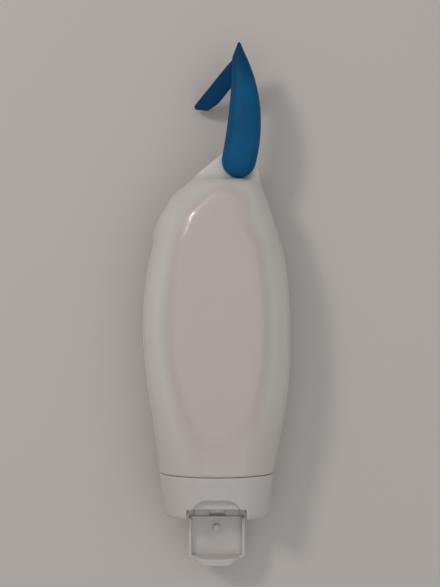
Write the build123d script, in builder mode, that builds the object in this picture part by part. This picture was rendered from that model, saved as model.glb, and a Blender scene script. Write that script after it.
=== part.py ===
from build123d import *
import math
import os

os.makedirs("parts", exist_ok=True)

# ---------------------------------------------------------------------------
# Refillable squeeze bottle with a flush flip-top cap and a folding strap hook.
# It lies on its back panel: +Z leaves the front panel, +Y runs from the cap
# to the hook and +X is to the right. The origin is on the flat back panel,
# where the body is widest. Millimetres and degrees.
# ---------------------------------------------------------------------------

# Bottle
body_width = 43.8            # widest section, side to side
body_depth = 28.0            # front panel to back panel
body_swell = 3.2             # how far the full oval would pass each flat panel
shoulder_y = 40.0            # where the sides turn in to the shoulder
crown_y = 47.6               # closed end of the hollow body
crown_x = 2.6                # the crown leans towards the lug
crown_half_width = 10.3
crown_half_depth = 9.0
parting_y = -40.0            # bottle's lower end, where the cap begins
parting_width = 34.2
parting_depth = 23.4
body_wall = 1.1
waist_narrowing = 2.9        # half width lost a third of the way up from the cap
waist_thinning = 2.8         # half depth lost there
hip_narrowing = 0.9          # both, two thirds of the way up
hip_x = 0.4                  # the lower body leans a little to the right
chest_narrowing = 3.3        # half width lost below the shoulder
chest_thinning = 0.8
shoulder_narrowing = 6.6     # half width lost where the shoulder begins
shoulder_thinning = 2.4
nape_narrowing = 9.0         # half width lost halfway through the shoulder
nape_thinning = 3.4
slant_turn = 42.0            # direction of the slanted shoulder, from +X
slant_x = -5.2               # a point of its ridge on the front panel
slant_y = 35.4
brow_tilt = 13.0             # slope of the first bevel, beside the ridge
brow_run = 3.4               # its breadth
bevel_tilt = 54.0            # slope of the second bevel, down to the flange

# Flange and lug at the top of the bottle
lug_x = 6.6
lug_y = 53.2
lug_radius = 4.9
flange_thickness = 3.0
flange_left_radius = 9.5
flange_left_x = -6.1
flange_left_y = 37.2
flange_right_radius = 9.0
flange_right_x = 7.4
flange_right_y = 36.6

# Neck
neck_radius = 6.8
neck_wall = 1.2
bead_height = 0.5            # snap bead, above the neck's wall
bead_width = 1.6
bead_from_end = 1.6

# Cap
cap_length = 13.2
cap_end_width = 31.4
cap_end_depth = 20.4
cap_wall = 1.4
cap_edge_radius = 2.4
cap_gap = 0.2                # seam between the bottle and the cap
deck_drop = 3.4              # depth of the lid's recess in the cap's end
deck_thickness = 1.4
collar_wall = 1.2
collar_gap = 0.1             # over the neck's snap bead
orifice_radius = 1.7
spout_wall = 1.2
spout_height = 1.6
liner_thickness = 0.7
liner_gap = 0.1
liner_slack = 0.05           # liner, inside the collar
liner_lip = 1.0              # liner's hole, inside the neck's bore

# Flip lid
lid_width = 17.0
lid_gap = 0.4
lid_plate = 1.2
lid_rim_wall = 0.9
lid_deck_gap = 0.35
plug_radius = 1.0
plug_length = 1.5
hinge_height = 10.0          # film hinge, above the back panel's plane
hinge_depth = 0.3            # hinge line, below the cap's end face
hinge_clear = 0.8            # lid's rear edge, from the hinge line
film_radius = 0.42
film_length = 4.6
film_offset = 4.6            # each strap's middle, from the bottle's centre line
tongue_width = 14.2
tongue_reach = 6.0           # thumb tongue, from the cap's end towards the bottle
tongue_corner = 4.6
tongue_inset = 8.7           # tongue's inner face, above the bottle's axis
lid_open = 100.0             # lid's turn from shut to its place at rest

# Strap hook
horn_gap = 0.4               # horn's back face, from the lug and the arm
horn_thickness = 5.6
horn_wall = 1.5
horn_foot_radius = 5.1
horn_edge_radius = 0.45
horn_right_radius = 47.6     # right edge, one long bow from the foot to the tip
horn_belly_y = 64.3          # where it is furthest to the right
horn_left_lean = 11.0        # left edge's lean where it leaves the foot, degrees
horn_left_x = 4.6            # top of the left edge, where the tip begins
horn_left_y = 84.0
horn_left_blend = 4.0
horn_tip_y = 88.4            # before the tip is rounded
horn_tip_radius = 0.6
horn_foot_fall = 1.4         # crown of the front, at the foot and at the tip
horn_tip_fall = 2.6
horn_hollow = 3.2
hook_rivet_radius = 1.6
arm_rivet_radius = 1.1
rivet_head_height = 1.0
rivet_head_overlap = 1.3     # head, past the shank
rivet_depth = 2.4            # shank's reach into the horn
rivet_gap = 0.1              # head, from the lug's and the arm's back faces
running_gap = 0.05
press_overlap = 0.02

# Folding arm of the hook
arm_pivot_x = 6.9
arm_pivot_y = 82.2
arm_eye_radius = 2.45
arm_eye_thickness = 3.0
arm_flat = 2.9               # level part of the arm, from its rivet
arm_end_thickness = 2.2
arm_end_height = 2.1         # middle of the arm's free end, above the back panel
arm_bend_radius = 5.0
arm_corner_radius = 0.7
arm_heel_x = -6.2            # rounded corners of the free end, from above
arm_heel_y = 71.2
arm_toe_x = -2.9
arm_toe_y = 70.6
arm_belly_x = 0.2
arm_belly_y = 72.4

# ---------------------------------------------------------------------------
# Values worked out from the sizes above
# ---------------------------------------------------------------------------
axis_z = body_depth / 2
half_width = body_width / 2
full_half_depth = body_depth / 2 + body_swell
cap_start_y = parting_y - cap_gap
cap_end_y = parting_y - cap_length
deck_y = cap_end_y + deck_drop
hinge_y = cap_end_y + hinge_depth
collar_radius = neck_radius + bead_height + collar_gap
liner_end_y = deck_y + deck_thickness
neck_end_y = liner_end_y + liner_thickness + liner_gap
neck_length = parting_y - neck_end_y
flange_low_z = axis_z - flange_thickness / 2
flange_high_z = axis_z + flange_thickness / 2
horn_back_z = flange_high_z + horn_gap
rivet_head_z = flange_low_z - rivet_gap
horn_front_z = horn_back_z + horn_thickness


def across(y, x=0.0, z=axis_z):
    """Plane square to the bottle's length; its local y points down."""
    return Plane(origin=(x, y, z), x_dir=(1, 0, 0), z_dir=(0, 1, 0))


def oval(half_x, half_z):
    """Ellipse in four quarters, so that lofts between ovals don't twist."""
    with BuildSketch() as face:
        with BuildLine():
            for start in (0, 90, 180, 270):
                EllipticalCenterArc((0, 0), half_x, half_z, start_angle=start, arc_size=90)
        make_face()
    return face.sketch


# Oval sections of the bottle: place, middle, half width and half depth.
# The belly and the shoulder are two lofts that share the section between them.
waist_y = 2 * parting_y / 3
hip_y = parting_y / 3
swell_end_y = 0.37 * shoulder_y
chest_y = 0.74 * shoulder_y
nape_y = (shoulder_y + crown_y) / 2
nape_x = crown_x / 2
belly_sections = [
    (parting_y, 0.0, parting_width / 2, parting_depth / 2),
    (waist_y, hip_x, half_width - waist_narrowing, full_half_depth - waist_thinning),
    (hip_y, hip_x, half_width - hip_narrowing, full_half_depth - hip_narrowing),
    (0.0, 0.0, half_width, full_half_depth),
    (swell_end_y, 0.0, half_width - chest_narrowing / 6, full_half_depth - chest_thinning / 6),
    (chest_y, 0.0, half_width - chest_narrowing, full_half_depth - chest_thinning),
]
shoulder_sections = [
    belly_sections[-1],
    (shoulder_y, crown_x / 8, half_width - shoulder_narrowing, full_half_depth - shoulder_thinning),
    (nape_y, nape_x, half_width - nape_narrowing, full_half_depth - nape_thinning),
    (crown_y, crown_x, crown_half_width, crown_half_depth),
]


def bottle_form(inset):
    """The hollow body's shape, with every wall moved in by the inset."""
    with BuildPart() as form:
        for sections in (belly_sections, shoulder_sections):
            for y, middle, half_x, half_z in sections:
                inner_y = min(max(y, parting_y + inset), crown_y - inset)
                with BuildSketch(across(inner_y, middle)):
                    add(oval(half_x - inset, half_z - inset))
            loft()
        panels = body_depth - 2 * inset
        with Locations((0, (parting_y + crown_y) / 2, axis_z)):
            Box(2 * body_width, 2 * (crown_y - parting_y), panels, mode=Mode.INTERSECT)
        turn = math.radians(slant_turn)
        for side in (1, -1):
            ridge = Vector(slant_x, slant_y, axis_z + side * body_depth / 2)
            for slope in (math.radians(brow_tilt), math.radians(bevel_tilt)):
                outward = Vector(-math.sin(turn), math.cos(turn), 0)
                normal = outward * math.sin(slope) + Vector(0, 0, side * math.cos(slope))
                with BuildSketch(Plane(origin=ridge - normal * inset, z_dir=normal)):
                    Rectangle(4 * body_width, 4 * body_width)
                extrude(amount=body_width, mode=Mode.SUBTRACT)
                fall = outward * math.cos(slope) - Vector(0, 0, side * math.sin(slope))
                ridge = ridge + fall * brow_run
    return form.part


def cap_form(inset, start_y, end_y):
    """The cap's tapering oval between two places, moved in by the inset."""
    with BuildPart() as form:
        for y in (start_y, end_y):
            share = (parting_y - y) / cap_length
            half_x = (parting_width + (cap_end_width - parting_width) * share) / 2
            half_z = (parting_depth + (cap_end_depth - parting_depth) * share) / 2
            with BuildSketch(across(y)):
                add(oval(half_x - inset, half_z - inset))
        loft()
    return form.part


def capped_oval():
    """The cap's whole outside, with its rounded end edge."""
    with BuildPart() as form:
        add(cap_form(0, cap_start_y, cap_end_y))
        fillet(form.edges().sort_by(Axis.Y)[0], radius=cap_edge_radius)
    return form.part


# ---------------------------------------------------------------------------
# Bottle
# ---------------------------------------------------------------------------
body_outside = bottle_form(0)
body_inside = bottle_form(body_wall)

with BuildPart() as bottle_shell:
    add(body_outside)
    with BuildSketch(Plane.XY.offset(flange_low_z)):
        with Locations((lug_x, lug_y)):
            Circle(lug_radius)
        with Locations((flange_left_x, flange_left_y)):
            Circle(flange_left_radius)
        with Locations((flange_right_x, flange_right_y)):
            Circle(flange_right_radius)
        make_hull()
    extrude(amount=flange_thickness)
    with BuildSketch(across(parting_y)):
        Circle(neck_radius)
    extrude(amount=-neck_length)
    with BuildSketch(across(neck_end_y + bead_from_end)):
        Circle(neck_radius + bead_height)
    extrude(amount=bead_width)
    chamfer(
        bottle_shell.edges().filter_by(GeomType.CIRCLE)
        .filter_by(lambda edge: abs(edge.radius - neck_radius - bead_height) < 0.01),
        length=0.9 * bead_height,
    )
    add(body_inside, mode=Mode.SUBTRACT)
    with BuildSketch(across(neck_end_y)):
        Circle(neck_radius - neck_wall)
    extrude(amount=neck_length + 2 * body_wall, mode=Mode.SUBTRACT)
    with BuildSketch(Plane.XY.offset(flange_low_z)):
        with Locations((lug_x, lug_y)):
            Circle(hook_rivet_radius + running_gap)
    extrude(amount=flange_thickness, mode=Mode.SUBTRACT)

bottle_shell.part.label = "bottle_shell"
export_step(bottle_shell.part, "parts/bottle_shell.step")

# ---------------------------------------------------------------------------
# Cap, its liner and the film of its hinge
# ---------------------------------------------------------------------------
recess_width = lid_width + 2 * lid_gap
recess_top = hinge_height + cap_end_depth
notch_floor_z = axis_z + tongue_inset - lid_gap


def end_slab(width, low_z, depth, outside):
    """Block of the cap's end, from a height up to the front, inside the cap's outside."""
    with BuildPart() as slab:
        with BuildSketch(across(cap_end_y)):
            with Locations((0, axis_z - low_z)):
                Rectangle(width, recess_top, align=(Align.CENTER, Align.MAX))
        extrude(amount=depth)
        add(outside, mode=Mode.INTERSECT)
    return slab.part


def tongue_block(width, low_z, reach, corner, outside):
    """Block of the cap's front wall with two round corners towards the bottle."""
    with BuildPart() as block:
        with BuildSketch(Plane.XY.offset(low_z)) as outline:
            with Locations((0, cap_end_y)):
                Rectangle(width, reach, align=(Align.CENTER, Align.MIN))
            fillet(outline.vertices().group_by(Axis.Y)[-1], radius=corner)
        extrude(amount=cap_end_depth)
        add(outside, mode=Mode.INTERSECT)
    return block.part


cap_outside = capped_oval()
cap_inside = cap_form(cap_wall, cap_start_y, cap_end_y + cap_wall)
recess_floor = end_slab(
    recess_width + 2 * cap_wall, hinge_height - cap_wall, deck_drop + deck_thickness, cap_outside
)
recess = end_slab(recess_width, hinge_height, deck_drop, cap_outside)
notch_backing = tongue_block(
    tongue_width + 2 * lid_gap + 2 * cap_wall,
    notch_floor_z - cap_wall,
    tongue_reach + lid_gap + cap_wall,
    tongue_corner + lid_gap + cap_wall,
    cap_outside,
)
notch = tongue_block(
    tongue_width + 2 * lid_gap, notch_floor_z, tongue_reach + lid_gap, tongue_corner + lid_gap, cap_outside
)

with BuildPart() as cap_shell:
    add(cap_outside)
    add(cap_inside, mode=Mode.SUBTRACT)
    add(recess_floor)
    add(notch_backing)
    with BuildSketch(across(cap_start_y)):
        Circle(collar_radius + collar_wall)
    extrude(amount=liner_end_y - cap_start_y)
    with BuildSketch(across(cap_start_y)):
        Circle(collar_radius)
    extrude(amount=liner_end_y - cap_start_y, mode=Mode.SUBTRACT)
    add(recess, mode=Mode.SUBTRACT)
    add(notch, mode=Mode.SUBTRACT)
    with BuildSketch(across(deck_y)):
        Circle(orifice_radius + spout_wall)
    extrude(amount=-spout_height)
    with BuildSketch(across(deck_y - spout_height)):
        Circle(orifice_radius)
    extrude(amount=spout_height + deck_thickness, mode=Mode.SUBTRACT)

cap_shell.part.label = "cap_shell"
export_step(cap_shell.part, "parts/cap_shell.step")

with BuildPart() as cap_liner:
    with BuildSketch(across(liner_end_y)):
        Circle(collar_radius - liner_slack)
        Circle(neck_radius - neck_wall - liner_lip, mode=Mode.SUBTRACT)
    extrude(amount=liner_thickness)

cap_liner.part.label = "cap_liner"
export_step(cap_liner.part, "parts/cap_liner.step")

with BuildPart() as film_hinge:
    for middle in (-film_offset, film_offset):
        start = (middle - film_length / 2, hinge_y, hinge_height)
        with BuildSketch(Plane(origin=start, x_dir=(0, 1, 0), z_dir=(1, 0, 0))):
            Circle(film_radius)
        extrude(amount=film_length)

film_hinge.part.label = "film_hinge"
export_step(film_hinge.part, "parts/film_hinge.step")

# ---------------------------------------------------------------------------
# Flip lid, drawn shut and then swung open about its hinge line
# ---------------------------------------------------------------------------
lid_rear_z = hinge_height + hinge_clear
lid_rim_depth = deck_drop - lid_deck_gap
lid_blank = end_slab(lid_width, lid_rear_z, lid_rim_depth, cap_outside)
tongue = tongue_block(tongue_width, axis_z + tongue_inset, tongue_reach, tongue_corner, cap_outside)

with BuildPart() as shut_lid:
    add(lid_blank)
    with BuildSketch(across(cap_end_y + lid_plate)):
        with Locations((0, axis_z - lid_rear_z)):
            Rectangle(
                lid_width - 2 * lid_rim_wall,
                axis_z + tongue_inset - lid_rear_z,
                align=(Align.CENTER, Align.MAX),
            )
    extrude(amount=lid_rim_depth, mode=Mode.SUBTRACT)
    add(tongue)
    with BuildSketch(across(cap_end_y + lid_plate)):
        Circle(plug_radius)
    extrude(amount=plug_length)

hinge_line = Axis((0, hinge_y, hinge_height), (1, 0, 0))
flip_lid = shut_lid.part.rotate(hinge_line, lid_open)
flip_lid.label = "flip_lid"
export_step(flip_lid, "parts/flip_lid.step")

# ---------------------------------------------------------------------------
# Strap hook: the horn, and the rivet that it turns on
# ---------------------------------------------------------------------------
belly_reach = horn_right_radius - horn_foot_radius
belly_rise = horn_belly_y - lug_y
bow_x = lug_x - math.sqrt(belly_reach**2 - belly_rise**2)
bow_start = -math.degrees(math.asin(belly_rise / belly_reach))
bow_end = math.degrees(math.asin((horn_tip_y - horn_belly_y) / horn_right_radius))


def horn_outline():
    """The horn seen from the front: a round foot, two bowed edges and a pointed tip."""
    with BuildSketch() as outline:
        with BuildLine():
            bow = CenterArc((bow_x, horn_belly_y), horn_right_radius, bow_start, bow_end - bow_start)
            foot = CenterArc(
                (lug_x, lug_y), horn_foot_radius, bow_start, -180 - horn_left_lean - bow_start
            )
            left = TangentArc(foot @ 1, (horn_left_x, horn_left_y), tangent=foot % 1)
            Line(left @ 1, bow @ 1)
        make_face()
        corners = outline.vertices().sort_by(Axis.Y)
        fillet(corners[-1], radius=horn_tip_radius)
        fillet(outline.vertices().sort_by_distance((horn_left_x, horn_left_y))[0], radius=horn_left_blend)
    return outline.sketch


horn_face = horn_outline()
horn_low_y = lug_y - horn_foot_radius

with BuildPart() as hook_horn:
    with BuildSketch(Plane.XY.offset(horn_back_z)):
        add(horn_face)
    extrude(amount=2 * horn_thickness)
    # The front is crowned along the horn
    with BuildSketch(Plane.YZ):
        with BuildLine():
            crown_line = ThreePointArc(
                (horn_low_y - 1, horn_front_z - horn_foot_fall),
                ((horn_low_y + horn_tip_y) / 2, horn_front_z),
                (horn_tip_y + 1, horn_front_z - horn_tip_fall),
            )
            Polyline(
                crown_line @ 1,
                (horn_tip_y + 1, horn_back_z),
                (horn_low_y - 1, horn_back_z),
                crown_line @ 0,
            )
        make_face()
    extrude(amount=2 * body_width, both=True, mode=Mode.INTERSECT)
    fillet(hook_horn.faces().sort_by(Axis.Z)[-1].edges(), radius=horn_edge_radius)
    # Moulded hollow in the back, between the two rivet bosses
    with BuildSketch(Plane.XY.offset(horn_back_z)):
        add(horn_face)
        offset(amount=-horn_wall, mode=Mode.REPLACE)
        with Locations((lug_x, lug_y + horn_foot_radius)):
            Rectangle(
                body_width,
                arm_pivot_y - arm_eye_radius - lug_y - horn_foot_radius,
                align=(Align.CENTER, Align.MIN),
                mode=Mode.INTERSECT,
            )
    extrude(amount=horn_hollow, mode=Mode.SUBTRACT)
    for x, y, radius in (
        (lug_x, lug_y, hook_rivet_radius),
        (arm_pivot_x, arm_pivot_y, arm_rivet_radius),
    ):
        with BuildSketch(Plane.XY.offset(horn_back_z)):
            with Locations((x, y)):
                Circle(radius - press_overlap)
        extrude(amount=rivet_depth, mode=Mode.SUBTRACT)

hook_horn.part.label = "hook_horn"
export_step(hook_horn.part, "parts/hook_horn.step")


def rivet(x, y, radius):
    """Headed rivet whose shank is pressed into the horn's back."""
    with BuildPart() as pin:
        with BuildSketch(Plane.XY.offset(rivet_head_z - rivet_head_height)):
            with Locations((x, y)):
                Circle(radius + rivet_head_overlap)
        extrude(amount=rivet_head_height)
        chamfer(pin.edges().group_by(Axis.Z)[0], length=rivet_head_height / 3)
        with BuildSketch(Plane.XY.offset(rivet_head_z)):
            with Locations((x, y)):
                Circle(radius)
        extrude(amount=horn_back_z + rivet_depth - rivet_head_z)
    return pin.part


hook_rivet = rivet(lug_x, lug_y, hook_rivet_radius)
hook_rivet.label = "hook_rivet"
export_step(hook_rivet, "parts/hook_rivet.step")

arm_rivet = rivet(arm_pivot_x, arm_pivot_y, arm_rivet_radius)
arm_rivet.label = "arm_rivet"
export_step(arm_rivet, "parts/arm_rivet.step")

# ---------------------------------------------------------------------------
# Folding arm: level at its rivet, then sloping down behind the horn
# ---------------------------------------------------------------------------
reach_x = (arm_heel_x + arm_toe_x) / 2 - arm_pivot_x
reach_y = (arm_heel_y + arm_toe_y) / 2 - arm_pivot_y
arm_reach = math.hypot(reach_x, reach_y)
arm_along = (reach_x / arm_reach, reach_y / arm_reach, 0)
arm_side = (reach_y / arm_reach, -reach_x / arm_reach, 0)
arm_past = arm_reach + 4 * arm_corner_radius
half_end = arm_end_thickness / 2
arm_plane = Plane(origin=(arm_pivot_x, arm_pivot_y, 0), x_dir=arm_along, z_dir=arm_side)

with BuildPart() as hook_arm:
    with BuildSketch():
        with Locations((arm_pivot_x, arm_pivot_y)):
            Circle(arm_eye_radius)
        with Locations((arm_heel_x, arm_heel_y), (arm_toe_x, arm_toe_y), (arm_belly_x, arm_belly_y)):
            Circle(arm_corner_radius)
        make_hull()
    extrude(amount=body_depth)
    with BuildSketch(arm_plane) as profile:
        with BuildLine():
            Polyline(
                (-2 * arm_eye_radius, flange_low_z),
                (arm_flat, flange_low_z),
                (arm_past, arm_end_height - half_end),
                (arm_past, arm_end_height + half_end),
                (arm_flat, flange_low_z + arm_eye_thickness),
                (-2 * arm_eye_radius, flange_low_z + arm_eye_thickness),
                close=True,
            )
        make_face()
        bends = [
            corner for corner in profile.vertices()
            if abs(arm_plane.to_local_coords(corner.center()).X - arm_flat) < 0.01
        ]
        fillet(bends, radius=arm_bend_radius)
    extrude(amount=body_width, both=True, mode=Mode.INTERSECT)
    with BuildSketch(Plane.XY.offset(flange_low_z)):
        with Locations((arm_pivot_x, arm_pivot_y)):
            Circle(arm_rivet_radius + running_gap)
    extrude(amount=arm_eye_thickness, mode=Mode.SUBTRACT)

hook_arm.part.label = "hook_arm"
export_step(hook_arm.part, "parts/hook_arm.step")
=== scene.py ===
import bmesh
import bpy
import numpy as np
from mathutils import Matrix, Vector


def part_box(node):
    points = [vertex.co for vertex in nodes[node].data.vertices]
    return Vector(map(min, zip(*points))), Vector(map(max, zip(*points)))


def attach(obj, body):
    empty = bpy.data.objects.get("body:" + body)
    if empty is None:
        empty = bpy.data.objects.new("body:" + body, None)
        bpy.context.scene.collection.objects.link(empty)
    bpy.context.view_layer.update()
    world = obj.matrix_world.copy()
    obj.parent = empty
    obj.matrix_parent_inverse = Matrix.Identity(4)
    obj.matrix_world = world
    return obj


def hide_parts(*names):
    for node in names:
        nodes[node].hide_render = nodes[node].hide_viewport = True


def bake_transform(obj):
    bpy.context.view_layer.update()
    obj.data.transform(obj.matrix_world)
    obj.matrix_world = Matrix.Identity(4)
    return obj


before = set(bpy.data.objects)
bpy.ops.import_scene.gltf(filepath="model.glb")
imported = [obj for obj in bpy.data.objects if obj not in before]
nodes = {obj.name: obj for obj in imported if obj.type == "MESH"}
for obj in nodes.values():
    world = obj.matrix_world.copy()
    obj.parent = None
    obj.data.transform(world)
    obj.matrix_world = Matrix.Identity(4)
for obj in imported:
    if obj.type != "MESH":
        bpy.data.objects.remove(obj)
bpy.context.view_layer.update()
scene = bpy.context.scene
MM = 0.001


# ---------------------------------------------------------------------------
# Small helpers
# ---------------------------------------------------------------------------
def linear(hex_colour):
    """An sRGB hex colour as the linear RGBA that shaders take."""
    values = [int(hex_colour[i:i + 2], 16) / 255 for i in (1, 3, 5)]
    return [v / 12.92 if v <= 0.04045 else ((v + 0.055) / 1.055) ** 2.4 for v in values] + [1.0]


def add_node(tree, kind, inputs=None, **settings):
    """Adds a node, with its settings, and its inputs as plain values or as the sockets that feed them."""
    node = tree.nodes.new(kind)
    for key, value in settings.items():
        setattr(node, key, value)
    for key, value in (inputs or {}).items():
        if isinstance(value, bpy.types.NodeSocket):
            tree.links.new(value, node.inputs[key])
        else:
            node.inputs[key].default_value = value
    return node


def new_material(name):
    """An empty material with an output node; returns the material and its tree."""
    material = bpy.data.materials.new(name)
    material.use_nodes = True
    material.node_tree.nodes.clear()
    return material, material.node_tree


def finish_material(tree, shader):
    add_node(tree, "ShaderNodeOutputMaterial", {"Surface": shader.outputs[0]})


def noise_at(tree, coords, size_mm, detail=2.0, roughness=0.5):
    """Noise whose blotches are about this many millimetres across."""
    return add_node(tree, "ShaderNodeTexNoise", {
        "Vector": coords, "Scale": 1 / (size_mm * MM), "Detail": detail, "Roughness": roughness,
    })


# ---------------------------------------------------------------------------
# Sizes
# ---------------------------------------------------------------------------
# Each node's voxel size in mm and its rounds of relaxing: fine enough for its smallest moulded edge
SKINS = {
    "bottle_shell": (0.56, 2),
    "cap_shell": (0.28, 3),
    "flip_lid": (0.16, 3),
    "hook_horn": (0.20, 6),
    "hook_arm": (0.16, 14),
    "hook_rivet": (0.12, 8),
    "arm_rivet": (0.12, 8),
}
BODY_AXIS_Z = sum(corner[2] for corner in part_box("bottle_shell")) / 2
BODY_ROUNDS = 60
BODY_START = -39.0 * MM         # the body is relaxed between the neck and the lug, which stay crisp
BODY_START_FADE = 1.5 * MM
BODY_END = 50.0 * MM
BODY_END_FADE = 2.0 * MM
CROWN_ROUNDS = 120
CROWN_Y = 46.0 * MM             # the softest edge, where the shoulder runs down to the hook's foot
CROWN_FADE = 3.6 * MM
SEAM_START = -38.6 * MM
SEAM_END = 33.0 * MM
SEAM_RADIUS = 0.22 * MM
SEAM_SPACING = 0.6 * MM
SEAM_BAND = 0.8 * MM            # how far from the seam's height and row the skin is searched
SEAM_ROW = 0.7 * MM
LIP_REACH = 1.0 * MM
LIP_LIFT = 0.13 * MM
FILM_HALF_REACH = 1.3 * MM      # strap's length to each side of the fold
FILM_THIN = 0.25 * MM
FILM_THICK = 0.55 * MM
FILM_WIDTH = 4.6 * MM
HORN_SIDE_FALL = 0.30           # share of the horn's height lost at its sides
HORN_ROUNDING = 0.30            # and its rounding just at the sides
HORN_TIP_FALL = 0.45
HORN_TIP_DRAW = 0.7 * MM        # makes up for what relaxing takes off the point
HORN_TIP_END = 3 * MM
HORN_TIP_RUN = 15 * MM
HORN_FOOT_FALL = 0.28
HORN_FOOT_RUN = 6 * MM
HORN_ROUNDS = 10
HORN_TIP_SHADE_Y = 86 * MM        # from here to its tip the blue is darkened with painted shade
FLOOR_SIZE = 3.0
FLOOR_DROP = 0.1 * MM


# ---------------------------------------------------------------------------
# Camera and light
# ---------------------------------------------------------------------------
CAMERA_TARGET = Vector((1.0, 13.6, 14.0)) * MM
CAMERA_DISTANCE = 350 * MM
VIEW_HEIGHT = 176.1 * MM
KEY_DIRECTION = Vector((-0.73, 0.61, 1.0)).normalized()
KEY_DISTANCE = 0.70
FILL_DIRECTION = Vector((0.25, -0.08, 1.0)).normalized()
FILL_DISTANCE = 0.9


def make_camera():
    data = bpy.data.cameras.new("camera")
    camera = bpy.data.objects.new("camera", data)
    scene.collection.objects.link(camera)
    camera.location = CAMERA_TARGET + Vector((0, 0, CAMERA_DISTANCE))
    data.sensor_width = 36
    data.lens = data.sensor_width * CAMERA_DISTANCE / VIEW_HEIGHT
    data.clip_start = 0.01
    scene.camera = camera


def area_light(name, direction, distance, size, watts, colour):
    data = bpy.data.lights.new(name, "AREA")
    data.size = size
    data.energy = watts
    data.color = linear(colour)[:3]
    light = bpy.data.objects.new(name, data)
    scene.collection.objects.link(light)
    light.location = CAMERA_TARGET + direction * distance
    light.rotation_euler = direction.to_track_quat("Z", "Y").to_euler()


def make_lights():
    area_light("key", KEY_DIRECTION, KEY_DISTANCE, size=0.13, watts=1.15, colour="#FFF8F4")
    area_light("fill", FILL_DIRECTION, FILL_DISTANCE, size=1.4, watts=3.4, colour="#F6F6F6")
    world = bpy.data.worlds.new("studio")
    world.use_nodes = True
    world.node_tree.nodes["Background"].inputs["Color"].default_value = linear("#EAE7E4")
    world.node_tree.nodes["Background"].inputs["Strength"].default_value = 0.40
    scene.world = world
    scene.view_settings.view_transform = "Standard"


# ---------------------------------------------------------------------------
# Materials
# ---------------------------------------------------------------------------
def frosted_ldpe():
    """Blow-moulded natural LDPE: a milky wall with a waxy skin, which gives one small clear highlight."""
    material, tree = new_material("frosted_LDPE_blow_moulded")
    coords = add_node(tree, "ShaderNodeTexCoord").outputs["Object"]
    place = add_node(tree, "ShaderNodeSeparateXYZ", {"Vector": coords})
    # Uneven parison thickness: the milk is a little denser in broad patches
    patches = noise_at(tree, coords, 26, detail=3)
    milk = add_node(tree, "ShaderNodeMix", {
        "Factor": patches.outputs["Fac"], "A": linear("#D8D6D3"), "B": linear("#CECBC8"),
    }, data_type="RGBA")
    # Painted shade: the flat front and back panels are drawn darker and pinker, for the shadowed floor and
    # hollow seen through the milky wall
    depth = add_node(tree, "ShaderNodeMath", {0: place.outputs["Z"], 1: BODY_AXIS_Z}, operation="SUBTRACT")
    from_axis = add_node(tree, "ShaderNodeMath", {0: depth.outputs[0]}, operation="ABSOLUTE")
    panel_shade = add_node(tree, "ShaderNodeMapRange", {
        "Value": from_axis.outputs[0], "From Min": 10.5 * MM, "From Max": 14 * MM, "To Max": 0.75,
    }, interpolation_type="SMOOTHSTEP")
    wall = add_node(tree, "ShaderNodeMix", {
        "Factor": panel_shade.outputs[0], "A": milk.outputs["Result"], "B": linear("#BDB1AF"),
    }, data_type="RGBA")
    # The wall is drawn a little warmer and darker towards the neck
    toward_neck = add_node(tree, "ShaderNodeMapRange", {
        "Value": place.outputs["Y"], "From Min": -10 * MM, "From Max": -40 * MM, "To Max": 0.55,
    })
    colour = add_node(tree, "ShaderNodeMix", {
        "Factor": toward_neck.outputs[0], "A": wall.outputs["Result"], "B": linear("#C0B7AE"),
    }, data_type="RGBA")
    # Handling marks change the gloss in patches, and the blasted mould gives a fine grain
    handling = noise_at(tree, coords, 7, detail=4, roughness=0.6)
    gloss = add_node(tree, "ShaderNodeMapRange", {
        "Value": handling.outputs["Fac"], "From Min": 0.3, "From Max": 0.7, "To Min": 0.30, "To Max": 0.42,
    })
    # Real grain is near 0.05 mm; it is drawn five times coarser, so that it shows at all
    grain = noise_at(tree, coords, 0.25, detail=2)
    grain_bump = add_node(tree, "ShaderNodeBump", {
        "Height": grain.outputs["Fac"], "Strength": 0.2, "Distance": 0.02 * MM,
    })
    # The wall cooled against the mould with very slight waves
    waves = noise_at(tree, coords, 14, detail=1)
    bump = add_node(tree, "ShaderNodeBump", {
        "Height": waves.outputs["Fac"], "Normal": grain_bump.outputs["Normal"],
        "Strength": 0.5, "Distance": 0.45 * MM,
    })
    shader = add_node(tree, "ShaderNodeBsdfPrincipled", {
        "Base Color": colour.outputs["Result"], "Roughness": gloss.outputs[0],
        "Normal": bump.outputs["Normal"],
        "IOR": 1.51, "Coat Weight": 0.6, "Coat Roughness": 0.10,
        "Subsurface Weight": 0.35, "Subsurface Radius": (1.0, 0.93, 0.86), "Subsurface Scale": 1.2 * MM,
    })
    finish_material(tree, shader)
    return material


def satin_polypropylene():
    """Injection-moulded natural PP: greyer and crisper than the bottle, with a satin skin."""
    material, tree = new_material("natural_PP_injection_moulded")
    coords = add_node(tree, "ShaderNodeTexCoord").outputs["Object"]
    flow = noise_at(tree, coords, 12, detail=2)
    colour = add_node(tree, "ShaderNodeMix", {
        "Factor": flow.outputs["Fac"], "A": linear("#CBC8C6"), "B": linear("#C0BCB9"),
    }, data_type="RGBA")
    wear = noise_at(tree, coords, 4, detail=4, roughness=0.6)
    gloss = add_node(tree, "ShaderNodeMapRange", {
        "Value": wear.outputs["Fac"], "From Min": 0.3, "From Max": 0.7, "To Min": 0.30, "To Max": 0.42,
    })
    grain = noise_at(tree, coords, 0.4, detail=2)
    bump = add_node(tree, "ShaderNodeBump", {
        "Height": grain.outputs["Fac"], "Strength": 0.25, "Distance": 0.04 * MM,
    })
    shader = add_node(tree, "ShaderNodeBsdfPrincipled", {
        "Base Color": colour.outputs["Result"], "Roughness": gloss.outputs[0],
        "Normal": bump.outputs["Normal"],
        "IOR": 1.49, "Subsurface Weight": 0.4, "Subsurface Radius": (1.0, 0.95, 0.9),
        "Subsurface Scale": 1.0 * MM,
    })
    finish_material(tree, shader)
    return material


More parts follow.
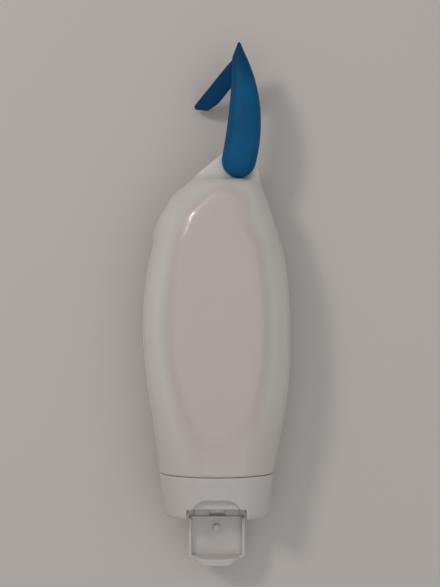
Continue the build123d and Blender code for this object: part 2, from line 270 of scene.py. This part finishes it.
def blue_plastic(name, deep, bright, rough_low, rough_high, tip_shade_full_y=None):
    """Moulded blue plastic: faint flow clouds, a dull satin skin whose gloss varies where hands have rubbed
    it, and, for the horn, painted shade darkening it to navy towards the tip.
    """
    material, tree = new_material(name)
    coords = add_node(tree, "ShaderNodeTexCoord").outputs["Object"]
    flow = noise_at(tree, coords, 9, detail=3)
    colour = add_node(tree, "ShaderNodeMix", {
        "Factor": flow.outputs["Fac"], "A": linear(deep), "B": linear(bright),
    }, data_type="RGBA")
    if tip_shade_full_y:
        # Painted shade: the blue darkens to navy towards the tip, where the horn turns away from the light
        place = add_node(tree, "ShaderNodeSeparateXYZ", {"Vector": coords})
        painted_tip_shade = add_node(tree, "ShaderNodeMapRange", {
            "Value": place.outputs["Y"], "From Min": tip_shade_full_y - 14 * MM, "From Max": tip_shade_full_y,
            "To Max": 0.8,
        }, interpolation_type="SMOOTHSTEP")
        colour = add_node(tree, "ShaderNodeMix", {
            "Factor": painted_tip_shade.outputs[0], "A": colour.outputs["Result"], "B": linear("#003456"),
        }, data_type="RGBA")
    rubbed = noise_at(tree, coords, 2.5, detail=5, roughness=0.65)
    gloss = add_node(tree, "ShaderNodeMapRange", {
        "Value": rubbed.outputs["Fac"], "From Min": 0.3, "From Max": 0.7,
        "To Min": rough_low, "To Max": rough_high,
    })
    grain = noise_at(tree, coords, 0.3, detail=2)
    bump = add_node(tree, "ShaderNodeBump", {
        "Height": grain.outputs["Fac"], "Strength": 0.3, "Distance": 0.03 * MM,
    })
    shader = add_node(tree, "ShaderNodeBsdfPrincipled", {
        "Base Color": colour.outputs["Result"], "Roughness": gloss.outputs[0],
        "Normal": bump.outputs["Normal"],
        "IOR": 1.5, "Specular IOR Level": 0.14, "Subsurface Weight": 0.08,
        "Subsurface Radius": (0.3, 0.6, 1.0), "Subsurface Scale": 1.2 * MM,
    })
    finish_material(tree, shader)
    return material


def liner_foam():
    """Expanded PE foam sheet: chalky white with tiny closed cells."""
    material, tree = new_material("expanded_PE_foam_die_cut")
    coords = add_node(tree, "ShaderNodeTexCoord").outputs["Object"]
    cells = add_node(tree, "ShaderNodeTexVoronoi", {"Vector": coords, "Scale": 1 / (0.35 * MM)})
    colour = add_node(tree, "ShaderNodeMix", {
        "Factor": cells.outputs["Distance"], "A": linear("#E4E2DD"), "B": linear("#F6F5F2"),
    }, data_type="RGBA")
    bump = add_node(tree, "ShaderNodeBump", {
        "Height": cells.outputs["Distance"], "Strength": 0.6, "Distance": 0.08 * MM,
    })
    shader = add_node(tree, "ShaderNodeBsdfPrincipled", {
        "Base Color": colour.outputs["Result"], "Roughness": 0.75, "Normal": bump.outputs["Normal"],
    })
    finish_material(tree, shader)
    return material


def pale_floor():
    """Matt painted board: even and dull, so that it only catches the shadow."""
    material, tree = new_material("pale_painted_board")
    shader = add_node(tree, "ShaderNodeBsdfPrincipled", {"Base Color": linear("#C6C2BF"), "Roughness": 0.85})
    finish_material(tree, shader)
    return material


# ---------------------------------------------------------------------------
# Mesh work
# ---------------------------------------------------------------------------
def link(name, mesh):
    piece = bpy.data.objects.new(name, mesh)
    scene.collection.objects.link(piece)
    return piece


def apply_modifiers(piece):
    """Bakes the piece's modifiers into a plain mesh."""
    evaluated = piece.evaluated_get(bpy.context.evaluated_depsgraph_get())
    mesh = bpy.data.meshes.new_from_object(evaluated)
    piece.modifiers.clear()
    piece.data = mesh
    return piece


def points_of(mesh):
    points = np.empty(len(mesh.vertices) * 3)
    mesh.vertices.foreach_get("co", points)
    return points.reshape(-1, 3)


def set_points(mesh, points):
    mesh.vertices.foreach_set("co", points.astype(np.float32).ravel())
    mesh.update()


def moulded_copy(node, name):
    """A copy of a CAD node as one even quad skin, its edges softened as a mould leaves them."""
    voxel_mm, rounds = SKINS[node]
    mesh = nodes[node].data.copy()
    work = bmesh.new()
    work.from_mesh(mesh)
    bmesh.ops.remove_doubles(work, verts=work.verts, dist=0.002 * MM)
    work.to_mesh(mesh)
    work.free()
    piece = link(name, mesh)
    skin = piece.modifiers.new("skin", "REMESH")
    skin.mode = "VOXEL"
    skin.voxel_size = voxel_mm * MM
    apply_modifiers(piece)
    smooth_piece(piece, rounds)
    piece.data.shade_smooth()
    return piece


def smooth_piece(piece, rounds, weights=None):
    """Relaxes the skin; weights, one for each vertex, limit where."""
    relax = piece.modifiers.new("relax", "SMOOTH")
    relax.factor = 0.5
    relax.iterations = rounds
    if weights is not None:
        group = piece.vertex_groups.new(name="relaxed")
        for index in np.nonzero(weights > 0.01)[0]:
            group.add([int(index)], float(weights[index]), "REPLACE")
        relax.vertex_group = group.name
    apply_modifiers(piece)
    piece.vertex_groups.clear()


def dress(piece, body, slot, material, *replaced):
    """Gives a finished piece its material and its body, and hides the CAD nodes it stands for; the slot
    argument is not used.
    """
    piece.data.materials.clear()
    piece.data.materials.append(material)
    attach(piece, body)
    if replaced:
        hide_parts(*replaced)


def dome_horn(piece, low_z):
    """Crowns the horn: its height above low_z shrinks towards both sides, the tip and the foot."""
    points = points_of(piece.data)
    rows = np.linspace(points[:, 1].min(), points[:, 1].max(), 160)
    step = rows[1] - rows[0]
    near = [points[np.abs(points[:, 1] - row) < step, 0] for row in rows]
    left = np.interp(points[:, 1], rows, [xs.min() for xs in near])
    right = np.interp(points[:, 1], rows, [xs.max() for xs in near])
    across = (2 * points[:, 0] - left - right) / np.maximum(right - left, 0.5 * MM)
    to_tip = np.clip((points[:, 1] - points[:, 1].max()) / HORN_TIP_RUN + 1, 0, 1)
    to_foot = np.clip(1 - (points[:, 1] - points[:, 1].min()) / HORN_FOOT_RUN, 0, 1)
    across = np.clip(np.abs(across), 0, 1)
    kept = 1 - HORN_SIDE_FALL * across ** 2 - HORN_ROUNDING * across ** 8
    kept *= (1 - HORN_TIP_FALL * to_tip ** 2) * (1 - HORN_FOOT_FALL * to_foot ** 2)
    points[:, 2] = np.where(points[:, 2] > low_z, low_z + (points[:, 2] - low_z) * kept, points[:, 2])
    points[:, 1] += HORN_TIP_DRAW * np.clip((points[:, 1] - points[:, 1].max()) / HORN_TIP_END + 1, 0, 1) ** 2
    set_points(piece.data, points)


def close_lip(piece, lip_y):
    """Stretches the rim of the cap towards the bottle, as the moulded lip closes on its edge."""
    points = points_of(piece.data)
    points[:, 1] += LIP_LIFT * np.clip(1 + (points[:, 1] - lip_y) / LIP_REACH, 0, 1)
    set_points(piece.data, points)


def seam_route(piece, side, count=60):
    """Points along the widest line of the bottle on one side, where the mould's halves met."""
    points = points_of(piece.data)
    level = points[np.abs(points[:, 2] - BODY_AXIS_Z) < SEAM_BAND]
    route = []
    for y in np.linspace(SEAM_START, SEAM_END, count):
        row = level[np.abs(level[:, 1] - y) < SEAM_ROW, 0] * side
        route.append((row.max() * side, y, BODY_AXIS_Z))
    return route


def bead_tree(material):
    """Geometry Nodes: a fine round bead along a curve."""
    tree = bpy.data.node_groups.new("bead_along_curve", "GeometryNodeTree")
    tree.interface.new_socket("Curve", in_out="INPUT", socket_type="NodeSocketGeometry")
    tree.interface.new_socket("Bead radius", in_out="INPUT", socket_type="NodeSocketFloat")
    tree.interface.new_socket("Spacing", in_out="INPUT", socket_type="NodeSocketFloat")
    tree.interface.new_socket("Bead", in_out="OUTPUT", socket_type="NodeSocketGeometry")
    given = add_node(tree, "NodeGroupInput")
    even = add_node(tree, "GeometryNodeResampleCurve", {
        "Curve": given.outputs["Curve"], "Length": given.outputs["Spacing"],
    }, mode="LENGTH")
    ring = add_node(tree, "GeometryNodeCurvePrimitiveCircle", {
        "Resolution": 10, "Radius": given.outputs["Bead radius"],
    })
    bead = add_node(tree, "GeometryNodeCurveToMesh", {
        "Curve": even.outputs["Curve"], "Profile Curve": ring.outputs["Curve"], "Fill Caps": True,
    })
    smooth = add_node(tree, "GeometryNodeSetShadeSmooth", {"Geometry": bead.outputs["Mesh"]})
    real = add_node(tree, "GeometryNodeRealizeInstances", {"Geometry": smooth.outputs["Geometry"]})
    made = add_node(tree, "GeometryNodeSetMaterial", {
        "Geometry": real.outputs["Geometry"], "Material": material,
    })
    add_node(tree, "NodeGroupOutput", {"Bead": made.outputs["Geometry"]})
    return tree


def run_tree(piece, tree, **values):
    """Runs a Geometry Nodes tree on an object and returns its result as a plain mesh object."""
    modifier = piece.modifiers.new("tree", "NODES")
    modifier.node_group = tree
    for item in tree.interface.items_tree:
        key = item.name.replace(" ", "_")
        if key in values:
            modifier[item.identifier] = values[key]
    evaluated = piece.evaluated_get(bpy.context.evaluated_depsgraph_get())
    mesh = bpy.data.meshes.new_from_object(evaluated)
    result = link(piece.name + "_mesh", mesh)
    bpy.data.objects.remove(piece)
    return result


def poly_curve(name, route):
    data = bpy.data.curves.new(name, "CURVE")
    data.dimensions = "3D"
    spline = data.splines.new("POLY")
    spline.points.add(len(route) - 1)
    for point, place in zip(spline.points, route):
        point.co = (*place, 1)
    return link(name, data)


def join_meshes(name, pieces):
    """One mesh object from several, smooth shaded."""
    work = bmesh.new()
    for piece in pieces:
        work.from_mesh(piece.data)
        bpy.data.objects.remove(piece)
    mesh = bpy.data.meshes.new(name)
    bmesh.ops.recalc_face_normals(work, faces=work.faces)
    work.to_mesh(mesh)
    work.free()
    mesh.shade_smooth()
    return link(name, mesh)


def film_strap(middle_x, hinge, rows=25, columns=9):
    """One thin strap of the film hinge, straight from the cap's recess to the lid, waisted at the fold."""
    work = bmesh.new()
    loops = []
    for row in range(rows):
        along = -1 + 2 * row / (rows - 1)
        y = hinge.y - along * FILM_HALF_REACH
        half = (FILM_THIN + (FILM_THICK - FILM_THIN) * along ** 2) / 2
        top = [work.verts.new((middle_x + FILM_WIDTH * (c / (columns - 1) - 0.5), y, hinge.z + half))
               for c in range(columns)]
        under = [work.verts.new((v.co.x, y, hinge.z - half)) for v in reversed(top)]
        loops.append(top + under)
    for first, second in zip(loops, loops[1:]):
        for k in range(len(first)):
            after = (k + 1) % len(first)
            work.faces.new((first[k], first[after], second[after], second[k]))
    work.faces.new(loops[0])
    work.faces.new(loops[-1])
    bmesh.ops.recalc_face_normals(work, faces=work.faces)
    mesh = bpy.data.meshes.new("strap")
    work.to_mesh(mesh)
    work.free()
    return link("strap", mesh)


# ---------------------------------------------------------------------------
# The object
# ---------------------------------------------------------------------------
make_camera()
make_lights()
bottle_plastic = frosted_ldpe()
cap_plastic = satin_polypropylene()
hook_blue = blue_plastic("blue_PP_injection_moulded", "#00456E", "#006092", 0.46, 0.60, HORN_TIP_SHADE_Y)
# The arm is a darker copy of the horn's blue: painted shade, as it slopes down away from the light
arm_blue_shaded = blue_plastic("blue_PP_less_rubbed", "#003860", "#004876", 0.48, 0.60)
rivet_blue = blue_plastic("blue_nylon_rivet", "#00365C", "#004470", 0.44, 0.56)
foam = liner_foam()

bottle = moulded_copy("bottle_shell", "bottle_skin")
heights = points_of(bottle.data)[:, 1]
from_neck = np.clip((heights - BODY_START) / BODY_START_FADE, 0, 1)
to_lug = np.clip((BODY_END - heights) / BODY_END_FADE, 0, 1)
smooth_piece(bottle, BODY_ROUNDS, from_neck * to_lug)
heights = points_of(bottle.data)[:, 1]
smooth_piece(bottle, CROWN_ROUNDS, np.clip(1 - np.abs(heights - CROWN_Y) / CROWN_FADE, 0, 1))

bead = bead_tree(bottle_plastic)
seams = []
for side in (-1, 1):
    path = poly_curve("seam_path", seam_route(bottle, side))
    seams.append(run_tree(path, bead, Bead_radius=SEAM_RADIUS, Spacing=SEAM_SPACING))
seam = join_meshes("mould_seam", seams)
dress(bottle, "bottle", "frosted_bottle", bottle_plastic, "bottle_shell")
dress(seam, "bottle", "frosted_bottle", bottle_plastic)

cap = moulded_copy("cap_shell", "cap_skin")
close_lip(cap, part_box("cap_shell")[1][1])
dress(cap, "cap", "frosted_cap", cap_plastic, "cap_shell")

lid = moulded_copy("flip_lid", "lid_skin")
dress(lid, "lid", "frosted_cap", cap_plastic, "flip_lid")

film_low, film_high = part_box("film_hinge")
fold = (Vector(film_low) + Vector(film_high)) / 2
strap_middle = film_high[0] - FILM_WIDTH / 2
straps = [film_strap(side * strap_middle, fold) for side in (-1, 1)]
web = join_meshes("hinge_web", straps)
web.data.materials.append(cap_plastic)
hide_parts("film_hinge")
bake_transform(web)

horn = moulded_copy("hook_horn", "horn_skin")
dome_horn(horn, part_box("hook_horn")[0][2])
smooth_piece(horn, HORN_ROUNDS)
dress(horn, "hook", "blue_plastic", hook_blue, "hook_horn")

arm = moulded_copy("hook_arm", "arm_skin")
dress(arm, "arm", "blue_plastic", arm_blue_shaded, "hook_arm")

for name in ("hook_rivet", "arm_rivet"):
    rivet = moulded_copy(name, name + "_headed")
    dress(rivet, "hook", "blue_rivet", rivet_blue, name)

nodes["cap_liner"].data.materials.clear()
nodes["cap_liner"].data.materials.append(foam)

bpy.ops.mesh.primitive_plane_add(size=FLOOR_SIZE, location=(0, 0, -FLOOR_DROP))
floor = bpy.context.object
floor.name = "floor"
floor.data.materials.append(pale_floor())
